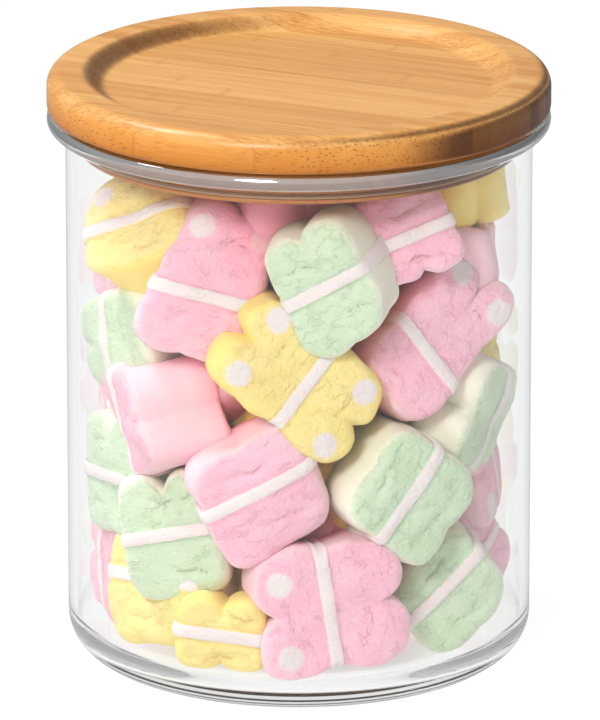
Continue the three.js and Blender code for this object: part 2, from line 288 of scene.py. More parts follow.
def bambooMaterial(spec):
    material, tree, shader = newMaterial("bamboo")
    turn = math.radians(spec["grainTurn"])
    place = objectPlace(tree)
    inMm = vectorMaths(tree, "MULTIPLY", place, (1000, 1000, 1000))
    # t runs along the strips, s across them, z up
    t = vectorMaths(tree, "DOT_PRODUCT", inMm, (math.cos(turn), -math.sin(turn), 0))
    s = vectorMaths(tree, "DOT_PRODUCT", inMm, (math.sin(turn), math.cos(turn), 0))
    z = addNode(tree, "ShaderNodeSeparateXYZ", {0: inMm}).outputs["Z"]
    inStrips = maths(tree, "DIVIDE", maths(tree, "SUBTRACT", s, spec["stripStart"]), spec["stripWidth"])
    strip = maths(tree, "FLOOR", inStrips)
    lot = addNode(tree, "ShaderNodeTexWhiteNoise", {"W": strip}, noise_dimensions="1D").outputs["Value"]
    lotTwo = addNode(tree, "ShaderNodeTexWhiteNoise", {"W": maths(tree, "ADD", strip, 37.5)},
                     noise_dimensions="1D").outputs["Value"]
    shifted = maths(tree, "ADD", t, maths(tree, "MULTIPLY", lot, 400.0))

    def grainPlace(along, across):
        return addNode(tree, "ShaderNodeCombineXYZ", {"X": maths(tree, "MULTIPLY", shifted, along),
                                                      "Y": maths(tree, "MULTIPLY", s, across),
                                                      "Z": maths(tree, "MULTIPLY", z, across)}).outputs[0]

    # vascular bundles: thin columns along the strip, dots at a cut end
    bundles = addNode(tree, "ShaderNodeTexVoronoi", {"Vector": grainPlace(0.02, 1.0), "Scale": 1.15,
                                                     "Randomness": 0.9}).outputs["Distance"]
    fleck = fade(tree, bundles, 0.14, 0.34, 1.0, 0.0)
    fibre = noise(tree, grainPlace(0.010, 1.0), 1.7, 5.0, 0.68)
    broad = noise(tree, grainPlace(0.006, 0.20), 1.0, 3.0, 0.5)
    tone = maths(tree, "MULTIPLY_ADD", lotTwo, 0.26, maths(tree, "MULTIPLY", broad, 0.65))
    tone = maths(tree, "ADD", tone, maths(tree, "MULTIPLY", maths(tree, "SUBTRACT", fibre, 0.5), 1.15))
    colour = blendColour(tree, fade(tree, tone, 0.10, 0.95), spec["light"], spec["deep"])
    # painted shade: the rounded edge and other upright faces are darker than the flats
    normal = addNode(tree, "ShaderNodeNewGeometry").outputs["Normal"]
    upward = addNode(tree, "ShaderNodeSeparateXYZ", {0: normal}).outputs["Z"]
    upright = maths(tree, "SUBTRACT", 1.0, maths(tree, "ABSOLUTE", upward))
    colour = blendColour(tree, fade(tree, upright, 0.35, 1.0, 0.0, 0.6), colour, spec["edgeShadeColour"])
    # painted shade: darker towards the bottom of the lid's edge
    low = fade(tree, z, spec["bottom"] - 1, spec["bottom"] + 7, 0.85, 0.0)
    colour = blendColour(tree, low, colour, spec["lowEdgeShade"])
    facing = vectorMaths(tree, "DOT_PRODUCT", normal, (math.cos(turn), -math.sin(turn), 0))
    cutEnd = maths(tree, "ABSOLUTE", facing)
    pores = maths(tree, "MULTIPLY", fleck, fade(tree, cutEnd, 0.05, 0.6, 0.12, 0.5))
    colour = blendColour(tree, pores, colour, spec["endGrainAndShade"])
    # knuckles: a darker band across each strip every 19 cm
    knuckle = maths(tree, "PINGPONG", maths(tree, "ADD", shifted, maths(tree, "MULTIPLY", fibre, 3.0)), 95.0)
    band = maths(tree, "MULTIPLY", fade(tree, knuckle, 0.0, 1.8, 1.0, 0.0), 0.35)
    colour = blendColour(tree, band, colour, spec["deep"])
    # glue lines between the strips
    acrossStrip = maths(tree, "ABSOLUTE", maths(tree, "SUBTRACT", maths(tree, "FRACT", inStrips), 0.5))
    joint = maths(tree, "MULTIPLY", fade(tree, acrossStrip, 0.478, 0.5), 0.16)
    colour = blendColour(tree, joint, colour, spec["endGrainAndShade"])
    # the ends cut against the grain on one side are darker, each strip by its own amount: part end grain,
    # part painted shade; in the dish only a painted shade on the cove that faces that way
    oneWay = maths(tree, "MAXIMUM", facing, 0.0)
    dark = maths(tree, "MULTIPLY", fade(tree, oneWay, 0.72, 0.90), fade(tree, lot, 0.2, 0.8, 0.82, 1.0))
    level = maths(tree, "SUBTRACT", 1.0, upright)
    shade = maths(tree, "MULTIPLY", fade(tree, oneWay, 0.2, 0.60), fade(tree, level, 0.5, 0.75, 0.0, 0.8))
    dark = maths(tree, "MULTIPLY", maths(tree, "MAXIMUM", dark, shade), 0.95)
    colour = blendColour(tree, dark, colour, spec["endGrainAndShade"])
    tree.links.new(colour, shader.inputs["Base Color"])
    tree.links.new(fade(tree, fibre, 0.3, 0.7, 0.42, 0.58), shader.inputs["Roughness"])
    shader.inputs["Specular IOR Level"].default_value = spec["specular"]
    shader.inputs["Coat Weight"].default_value = spec["coat"]
    shader.inputs["Coat Roughness"].default_value = spec["coatRoughness"]
    height = maths(tree, "ADD", maths(tree, "MULTIPLY", fibre, 0.12), maths(tree, "MULTIPLY", fleck, -0.05))
    height = maths(tree, "SUBTRACT", height, maths(tree, "MULTIPLY", joint, 0.12))
    bump(tree, height, shader)
    return material


def makeLid(spec):
    low = spec["grooveZ"] - spec["grooveHeight"] / 2
    high = spec["grooveZ"] + spec["grooveHeight"] / 2
    plug, radius, edge, under = spec["plugRadius"], spec["radius"], spec["edge"], spec["underEdge"]
    profile = [
        [0, spec["plugBottom"]],
        arc(plug - spec["plugEdge"], spec["plugBottom"] + spec["plugEdge"], spec["plugEdge"], -90, 0, 4)[:-1],
        [plug, low],
        [spec["grooveRadius"], low],
        [spec["grooveRadius"], high],
        [plug, high],
        [plug, spec["bottom"]],
        arc(radius - under, spec["bottom"] + under, under, -90, 0, 6),
        arc(radius - edge, spec["top"] - edge, edge, 0, 90, 12),
        easeStep(spec["ringInner"], spec["top"], spec["dishRadius"], spec["top"] - spec["dishDepth"], 16),
        [0, spec["top"] - spec["dishDepth"]],
    ]
    piece = turnedPiece("bambooLid", profile, spec["sides"], bambooMaterial(spec))
    ride(piece, "bamboo", "lid")
    print("bamboo lid made")


makeLid(lid)

gasket = {"z": 148.9, "height": 0.9, "inner": 59.6, "outer": 61.7, "nose": 1.1, "sides": 180,
          "colours": ((0.50, 0.27, 0.12, 1), (0.62, 0.38, 0.20, 1)), "clearness": 0.45}


def siliconeMaterial(spec):
    material, tree, shader = newMaterial("silicone")
    place = objectPlace(tree)
    cloud = noise(tree, place, 160.0, 3.0)
    colour = blendColour(tree, cloud, *spec["colours"])
    tree.links.new(colour, shader.inputs["Base Color"])
    tree.links.new(fade(tree, cloud, 0.3, 0.7, 0.35, 0.5), shader.inputs["Roughness"])
    shader.inputs["Transmission Weight"].default_value = spec["clearness"]
    bump(tree, maths(tree, "MULTIPLY", cloud, 0.03), shader)
    return material


def makeGasket(spec):
    # a round-nosed lip: flat inside, half an ellipse outside
    half, length = spec["height"] / 2, spec["nose"]
    nose = arc(0, 0, 1, -90, 90, 10) * [length, half] + [spec["outer"] - length, spec["z"]]
    profile = [[spec["inner"], spec["z"] - half], nose, [spec["inner"], spec["z"] + half],
               [spec["inner"], spec["z"] - half]]
    piece = turnedPiece("sealingRing", profile, spec["sides"], siliconeMaterial(spec))
    ride(piece, "silicone", "gasket")
    print("sealing ring made")


makeGasket(gasket)

sweet = {
    "rim": 3.4,  # rounding between a cut face and the side
    "squareness": 4, "bodyNotch": (0.25, 24), "sideNotch": (0.19, 22),
    "waist": (0.11, 15), "crease": (0.11, 10), "stripeEnd": (0.075, 11),
    "coarseSides": 20, "coarseRings": ((0.84, -1), (1, -0.62), (1, 0.62), (0.84, 1)),
    "room": 0.6,  # kept to the glass
    "fillBottom": 6.9, "fillTop": 146.0,
    "columns": 104, "faceRows": 13, "rimRows": 6, "sideRows": 8,
    "innerDetail": 0.6, "firstSeed": 400,
    "stripe": 1.8, "stripeRise": 0.75, "dot": 3.6, "dotFromTip": 7.5, "dotEnds": (9.8, -11.0), "dotRoom": 6.4,
    "crackShare": 0.55, "seamShare": 0.7, "lineDepth": 0.42, "powderDepth": 0.16,
    "subsurface": 0.4, "subsurfaceReach": 0.003, "specular": 0.25, "sheen": 0.05, "sheenRoughness": 0.6,
}
# the cut face, the smooth side, and the shade deep between the marshmallows
shades = {
    "pink": ((0.98, 0.49, 0.60, 1), (0.97, 0.60, 0.66, 1), (0.48, 0.05, 0.04, 1)),
    "yellow": ((0.97, 0.75, 0.26, 1), (0.96, 0.73, 0.17, 1), (0.42, 0.22, 0.01, 1)),
    "green": ((0.59, 0.73, 0.50, 1), (0.84, 0.82, 0.66, 1), (0.26, 0.27, 0.06, 1)),
}
cream = (0.86, 0.76, 0.74, 1)

# The marshmallows that lie against the front half of the glass, as in the solids: colour, dotted wing pairs,
# turn round the jar, height, facing, tilt, roll, near wing, far wing, half length, thickness, skew, inset
# and dents. The pink one under the lid lies at inset 21, where the solids have 12.
frontSweets = [
    ("pink", 1, 8, 27, 10, 6, 8, 20, 22, 19, 21, 0, 0, (1, 1, 1)),
    ("pink", 1, -37, 114, 0, 11, -105, 26, 18, 15, 22, -0.15, 0, (0.4, 0.3, 0.5)),
    ("yellow", 2, -1, 92, 14, 5, -39, 25, 22, 15.5, 23, -0.07, 0, (1, 0.8, 1)),
    ("pink", 1, 50, 95, 25, 10, -145, 30, 17, 14, 22, 0.1, 0, (1.1, 0.2, 0.6)),
    ("green", 0, 11, 122, -14, -4, -59, 17, 18, 14, 22, -0.06, 0, (0.7, 0.2, 0.5)),
    ("pink", 0, -15, 63, 3, 1, -62, 14, 20, 17, 23, -0.07, 0, (0.3, 0.2, 0.3)),
    ("green", 0, 34, 59, 24, 3, -38, 15, 18, 16, 21, -0.08, 0, (0.2, 0.2, 0.35)),
    ("green", 0, -48, 44, -10, 11, -78, 17, 19, 14, 23, 0.04, 0, (1.1, 0.2, 0.4)),
    ("yellow", 0, -24, 18, -8, 7, -95, 10.5, 11.5, 12.5, 17, 0.05, 0, (1, 0.9, 0.2)),
    ("green", 0, 59, 25, 12, 0, -45, 11, 17, 15, 22, -0.1, 0, (0.2, 0.2, 0.3)),
    ("green", 0, 75, 73, 68, -15, -24, 19, 20, 16, 17, 0, 0, (1, 0.3, 0.5)),
    ("yellow", 1, -66, 127, -44, 40, -58, 18, 14, 17, 19, 0.05, 0, (0.4, 0.3, 0.4)),
    ("green", 0, -81, 94, -58, -4, 14, 19, 20, 14, 23, 0.1, 0, (0.8, 0.6, 0.6)),
    ("pink", 0, -58, 76, -75, -10, 22, 19, 20, 15, 26, -0.08, 0, (0.3, 0.3, 0.4)),
    ("green", 0, -78, 54, -63, 3, -83, 17, 17, 18, 23, 0, 1, (0.9, 0.3, 0.5)),
    ("yellow", 0, -52, 25, -46, 18, -84, 17, 18, 17, 22, 0.05, 3, (0.8, 0.2, 0.4)),
    ("pink", 0, 44, 130, 7, 16, -69, 14, 12, 13.5, 21, 0.06, 3, (0.3, 0.7, 0.5)),
    ("pink", 0, -101, 114, -72, 4, 86, 18, 18, 16, 20, 0, 0, (0.9, 0.9, 0.7)),
    ("pink", 1, -104, 75, -70, 6, 8, 18, 18, 16, 20, 0, 0, (0.9, 0.9, 0.7)),
    ("pink", 0, -91, 26, -70, 3, 4, 19, 18, 17, 21, 0, 0, (1, 1, 0.7)),
    ("pink", 0, -3, 136, -60, 86, -100, 18, 18, 16, 20, 0, 21, (0.8, 0.8, 0.7)),
    ("yellow", 0, 90, 136, 60, -82, -70, 17, 17, 15, 20, 0, 3, (0.6, 0.6, 0.7)),
    ("yellow", 0, 121, 134, 74, 0, 4, 15, 15, 13, 19, 0, 0, (0.8, 0.8, 0.7)),
    ("pink", 0, 83, 115, 6, -78, -80, 17, 17, 15, 20, 0, 5, (0.6, 1, 0.7)),
    ("pink", 0, 112, 113, 72, 2, 86, 18, 18, 16, 20, 0, 0, (0.9, 0.9, 0.7)),
    ("yellow", 2, 106, 83, 60, 8, -4, 18, 18, 16, 21, 0, 0, (0.7, 0.7, 0.7)),
    ("pink", 1, 99, 53, 80, 5, 6, 18, 18, 17, 21, 0, 0, (0.9, 0.8, 0.7)),
    ("pink", 1, 88, 25, 58, 6, -62, 19, 17, 17, 21, 0.1, 0, (0.5, 0.7, 0.7)),
]
# loose ones further in, which show in the gaps
innerSweets = [
    ("yellow", 0, 13, 112, -20, 10, 30, 18, 18, 16, 20, 0, 20, (0.8, 0.8, 0.7)),
    ("yellow", 0, 5, 74, 20, 20, 50, 18, 18, 16, 20, 0, 21, (0.8, 0.8, 0.7)),
    ("yellow", 0, -46, 24, -40, 0, 20, 18, 18, 16, 20, 0, 20, (0.8, 0.8, 0.7)),
    ("yellow", 0, 38, 46, 60, 10, 10, 18, 18, 16, 20, 0, 20, (0.8, 0.8, 0.7)),
    ("pink", 0, -30, 92, -60, 30, 30, 18, 18, 16, 20, 0, 18, (0.8, 0.8, 0.7)),
    ("pink", 0, 20, 52, 10, 20, -20, 18, 18, 16, 20, 0, 20, (0.8, 0.8, 0.7)),
]
sweetFields = ("colour", "dotted", "turn", "height", "facing", "tilt", "roll", "nearWing", "farWing",
               "halfLength", "thickness", "skew", "inset", "dents")
backRule = {
    "deepInset": 10, "sharedDistance": 23, "spareDistance": 26, "innerDistance": 24,
    "drawStart": 20261, "paintStart": 77, "play": 8,
    "outerLevels": 6, "outerTurns": 16, "outerLowest": 18, "outerRise": 22,
    "outerSize": {"nearWing": 17, "farWing": 18, "halfLength": 15.5, "thickness": 20, "skew": 0,
                  "dents": (0.8, 0.6, 0.7)},
    "innerLevels": 7, "innerTurns": 9, "innerLowest": 16, "innerRise": 19,
    "innerSize": {"nearWing": 18, "farWing": 18, "halfLength": 16, "thickness": 20, "skew": 0,
                  "dents": (0.8, 0.8, 0.7)},
    "colours": ("pink", "pink", "pink", "pink", "green", "green", "yellow", "yellow"),
}


def notch(angle, at, shape, power=1.7):
    # a V-shaped dent: depth times (1 - distance / width) to a power, zero past the width
    away = np.abs((angle - at + 540) % 360 - 180)
    return shape[0] * np.clip(1 - away / shape[1], 0, 1) ** power


def outlineRadius(angle, one, fine):
    # a rounded square, (|cos|^p + |sin|^p)^(-1/p), less the notches; the fine one adds waists and stripe ends
    p = sweet["squareness"]
    c, s = np.abs(np.cos(np.radians(angle))), np.abs(np.sin(np.radians(angle)))
    radius = (c ** p + s ** p) ** (-1 / p)
    for at in (90, 270):
        radius -= one["dents"][2] * notch(angle, at, sweet["bodyNotch"])
    radius -= one["dents"][0] * notch(angle, 180, sweet["sideNotch"])
    radius -= one["dents"][1] * notch(angle, 0, sweet["sideNotch"])
    if fine:
        for at, dent in ((180, one["dents"][0]), (0, one["dents"][1])):
            radius -= max(dent - 0.35, 0) * notch(angle, at, sweet["crease"], 1.0)
        for at in (90, 270):
            radius += notch(angle, at, sweet["stripeEnd"], 0.6)
        for at, wing in ((180, one["nearWing"]), (0, one["farWing"])):
            depth = sweet["waist"][0] * min(max((wing - 21) / 5, 0), 1)
            for side in (-62, 62):
                radius -= notch(angle, at + side, (depth, sweet["waist"][1]), 1.3)
    return radius


def outlinePoints(angle, one, fine=False):
    # the unit outline stretched by the near and the far wing across and by the half length along the stripe
    radius = outlineRadius(angle, one, fine)
    c, s = np.cos(np.radians(angle)), np.sin(np.radians(angle))
    x = radius * c * np.where(c < 0, one["nearWing"], one["farWing"])
    return np.column_stack([x, radius * s * one["halfLength"] + one["skew"] * x])


def sweetAxes(one):
    a, b, g = (math.radians(one[key]) for key in ("facing", "tilt", "roll"))
    face = np.array([math.sin(a) * math.cos(b), -math.cos(a) * math.cos(b), math.sin(b)])
    up = np.array([-math.sin(a) * math.sin(b), math.cos(a) * math.sin(b), math.cos(b)])
    right = np.cross(up, face)
    along = math.cos(g) * up - math.sin(g) * right
    return np.array([np.cross(along, face), along, face])


def fillRadius(z):
    # how far from the axis a marshmallow may reach at height z: the bore, then the rounded inner heel
    heel = jar["innerHeel"]
    below = np.maximum(0, jar["floorTop"] + heel - z)
    return jar["boreRadius"] - sweet["room"] - heel + np.sqrt(np.maximum(0, heel ** 2 - below ** 2))


def placeSweet(points, one):
    # lifted or lowered to stay between the glass base and the plug, then slid outwards from the axis until
    # one point meets the fill radius less the inset
    low = sweet["fillBottom"] - points[:, 2].min()
    high = sweet["fillTop"] - points[:, 2].max()
    height = min(max(one["height"], low), high)
    ex, ey = math.sin(math.radians(one["turn"])), -math.cos(math.radians(one["turn"]))
    limit = fillRadius(points[:, 2] + height) - one["inset"]
    along = points[:, 0] * ex + points[:, 1] * ey
    across = points[:, 0] * ey - points[:, 1] * ex
    reach = np.min(np.sqrt(np.maximum(0, limit ** 2 - across ** 2)) - along)
    return np.array([ex * reach, ey * reach, height])


def coarsePoints(one):
    # the few-sided shape of the solids, which the layout rule measures with
    sides, half = sweet["coarseSides"], one["thickness"] / 2
    flat = outlinePoints(np.arange(sides) * 360 / sides, one)
    rings = [np.column_stack([flat * size, np.full(sides, level * half)])
             for size, level in sweet["coarseRings"]]
    return np.vstack(rings) @ sweetAxes(one)


class Draw:
    # repeatable draws from 0 to 1
    def __init__(self, start):
        self.state = start

    def __call__(self):
        self.state = (self.state * 48271) % 2147483647
        return self.state / 2147483647


def layOut():
    # the front rows, the same rows turned half round for the hidden side, then loose ones in what stays open
    placed, rule = [], backRule

    def put(one, farEnough=0.0):
        centre = placeSweet(coarsePoints(one), one)
        if not placed or min(np.linalg.norm(centre - other["centre"]) for other in placed) > farEnough:
            placed.append({**one, "centre": centre})

    rows = [dict(zip(sweetFields, row)) for row in frontSweets]
    paint = Draw(rule["paintStart"])
    for one in rows:
        put(one)
    for one in rows:
        if one["inset"] < rule["deepInset"]:
            put({**one, "turn": one["turn"] + 180, "facing": one["facing"] + 180, **painted(paint)},
                rule["sharedDistance"])
    draw = Draw(rule["drawStart"])
    part = 360 / rule["outerTurns"]
    for level in range(rule["outerLevels"]):
        for step in range(rule["outerTurns"]):
            turn = step * part + part * draw()
            height = rule["outerLowest"] + level * rule["outerRise"] + rule["play"] * draw()
            one = {"turn": turn, "height": height, "facing": turn - 50 + 100 * draw(),
                   "tilt": -25 + 60 * draw(), "roll": 360 * draw(), "inset": 2 * draw(),
                   **rule["outerSize"], **painted(paint)}
            put(one, rule["spareDistance"])
    outer = len(placed)
    for row in innerSweets:
        put(dict(zip(sweetFields, row)))
    part = 360 / rule["innerTurns"]
    for level in range(rule["innerLevels"]):
        for step in range(rule["innerTurns"]):
            turn = step * part + part * draw()
            height = rule["innerLowest"] + level * rule["innerRise"] + rule["play"] * draw()
            one = {"turn": turn, "height": height, "facing": 360 * draw(), "tilt": -60 + 120 * draw(),
                   "roll": 360 * draw(), "inset": 19 + 4 * draw(), **rule["innerSize"], **painted(paint)}
            put(one, rule["innerDistance"])
    return placed, outer


def painted(paint):
    # a colour and its dots, in about the shares that the front shows
    colour = backRule["colours"][int(paint() * len(backRule["colours"]))]
    dotted = 0 if colour == "green" or paint() < 0.5 else 1
    return {"colour": colour, "dotted": dotted}


def waves(points, seed, lengths, heights):
    # a sum of sine waves of the given lengths in seeded random directions: smooth lumps of the given heights
    rng = np.random.default_rng(seed)
    total = np.zeros(len(points))
    for length, height in zip(lengths, heights):
        for _ in range(4):
            direction = rng.normal(size=3)
            direction /= np.linalg.norm(direction)
            phase = points @ direction * 2 * math.pi / length + rng.uniform(0, 2 * math.pi)
            total += height / 2 * np.sin(phase)
    return total


def sweetMesh(one, seed, detail=1.0):
    # Rows run from the middle of one cut face over its rim, down the side and back to the middle of the
    # other: on a face the radius is (R - rim) f, on a rim R - rim (1 - cos a), on the side R plus a bulge.
    columns = int(sweet["columns"] * detail) // 4 * 4
    faceRows, rimRows, sideRows = (max(3, round(sweet[key] * detail))
                                   for key in ("faceRows", "rimRows", "sideRows"))
    rng = np.random.default_rng(seed)
    half, rim = one["thickness"] / 2, sweet["rim"] * rng.uniform(0.9, 1.15)
    flat = outlinePoints(np.arange(columns) * 360 / columns, one, fine=True)
    reach = np.linalg.norm(flat, axis=1)
    unit = flat / reach[:, None]
    f = np.linspace(0, 1, faceRows + 1)[1:]
    a = np.radians(np.linspace(90, 0, rimRows + 1))[1:]
    side = np.linspace(1, -1, sideRows + 1)[1:-1] * (half - rim)
    puff = rng.uniform(0.3, 0.8, 2)
    faceRadius = (reach - rim) * f[:, None]
    faceZ = half - puff[0] * np.clip(f - 0.55, 0, 1) ** 2 * 2.0
    rimRadius = reach - rim * (1 - np.cos(a))[:, None]
    rimZ = half - rim + (faceZ[-1] - half + rim) * np.sin(a)
    sideRadius = reach + 0.5 * np.cos(side / half * math.pi / 2)[:, None] - 0.25
    radius = np.vstack([faceRadius, rimRadius, sideRadius, rimRadius[::-1], faceRadius[::-1]])
    z = np.concatenate([faceZ, rimZ, side, -rimZ[::-1], -faceZ[::-1]])
    lean = np.concatenate([np.ones(faceRows), np.sin(a), np.zeros(len(side)), -np.sin(a[::-1]),
                           -np.ones(faceRows)])
    rows = len(z)
    points = np.concatenate([radius[:, :, None] * unit, np.repeat(z[:, None], columns, 1)[:, :, None]],
                            axis=2).reshape(-1, 3)
    points = np.vstack([points, [0, 0, half], [0, 0, -half]])
    lean = np.concatenate([np.repeat(lean, columns), [1, -1]])
    outward = np.vstack([np.tile(unit, (rows, 1)), [[1, 0], [1, 0]]]) * np.sqrt(1 - lean ** 2)[:, None]
    outward = np.column_stack([outward, lean])
    onFace = np.abs(lean)
    # the wings fold back a little about the stripe, and lean against it
    x, y = points[:, 0].copy(), points[:, 1].copy()
    points[:, 2] -= rng.uniform(-0.01, 0.10) * (np.sqrt(x ** 2 + 9) - 3)
    # the white stripe stands slightly proud between two fine grooves; a crease runs into each wing from the
    # notch between its tips, and a ragged crack with swollen edges crosses each wing pair
    fold, depth = foldLine(x, y, one, rng)
    split, gap = splitLine(x, y, one, rng)
    relief = sweet["stripeRise"] * np.exp(-(x / 2.0) ** 4) - 0.3 * np.exp(-((np.abs(x) - 2.7) / 0.7) ** 2)
    relief -= onFace * depth * (1.0 * np.exp(-(fold / 1.2) ** 2) + 0.9 * np.exp(-(fold / 4.5) ** 2))
    relief -= onFace * gap * 0.4 * np.exp(-(split / 0.9) ** 2)
    relief += onFace * gap * 0.25 * np.exp(-((np.abs(split) - 2.4) / 1.5) ** 2)
    relief += waves(points, seed, (26, 13, 6.5), (0.7, 0.36, 0.12))
    points += outward * relief[:, None]
    marks = np.column_stack([dotDistance(x, y, one), np.abs(split) + 2 * (1 - gap), onFace])
    quads = gridQuads(rows, columns)
    i, j = np.arange(columns), (np.arange(columns) + 1) % columns
    top, bottom, last = len(points) - 2, len(points) - 1, (rows - 1) * columns
    tris = np.vstack([np.column_stack([np.full(columns, top), i, j]),
                      np.column_stack([np.full(columns, bottom), last + j, last + i])])
    local = np.column_stack([x, y, points[:, 2]])
    return points, quads, tris, local, marks


def gridQuads(rows, columns):
    row = np.arange(rows - 1)[:, None] * columns
    i = np.arange(columns)[None, :]
    j = (i + 1) % columns
    return np.stack([row + j, row + i, row + columns + i, row + columns + j], axis=-1).reshape(-1, 4)


def foldLine(x, y, one, rng):
    # signed distance in mm from a waving line across the wings, and how deep it is: nothing at the stripe,
    # most at the tips, and only where that wing pair has a notch
    line = y - one["skew"] * x + 0.5 * np.sin(x / 3.1 + rng.uniform(0, 6))
    line += 0.3 * np.sin(x / 1.3 + rng.uniform(0, 6))
    wing = np.where(x < 0, one["nearWing"], one["farWing"])
    dent = np.where(x < 0, one["dents"][0], one["dents"][1])
    return line, np.clip((dent - 0.4) / 0.6, 0, 1) * np.clip(np.abs(x) / wing * 1.6 - 0.35, 0, 1)


def splitLine(x, y, one, rng):
    # signed distance from a ragged crack along the middle of each wing pair, beside the stripe, and how open
    # it is: it comes and goes along its length, and each wing pair has its own
    wing = np.where(x < 0, one["nearWing"], one["farWing"])
    at = wing * np.where(x < 0, rng.uniform(0.42, 0.62), rng.uniform(0.42, 0.62))
    ragged = 0.7 * np.sin(y / 2.9 + rng.uniform(0, 6)) + 0.35 * np.sin(y / 1.05 + rng.uniform(0, 6))
    start, spread = np.where(x < 0, rng.uniform(-6, 6), rng.uniform(-6, 6)), rng.uniform(5, 9)
    return np.abs(x) - at + ragged, np.exp(-((y - start) / spread) ** 4)


def dotDistance(x, y, one):
    # distance in mm to the nearest dot's middle; far away where a wing pair has none
    nearest = np.full(len(x), 40.0)
    straight = y - one["skew"] * x
    for pair, (side, wing) in enumerate(((-1, one["nearWing"]), (1, one["farWing"]))):
        if pair < one["dotted"]:
            across = side * (wing - sweet["dotFromTip"])
            room = one["halfLength"] - sweet["dotRoom"]
            for end in sweet["dotEnds"]:
                end = np.clip(end, -room, room)
                nearest = np.minimum(nearest, np.hypot(x - across, straight - end))
    return nearest


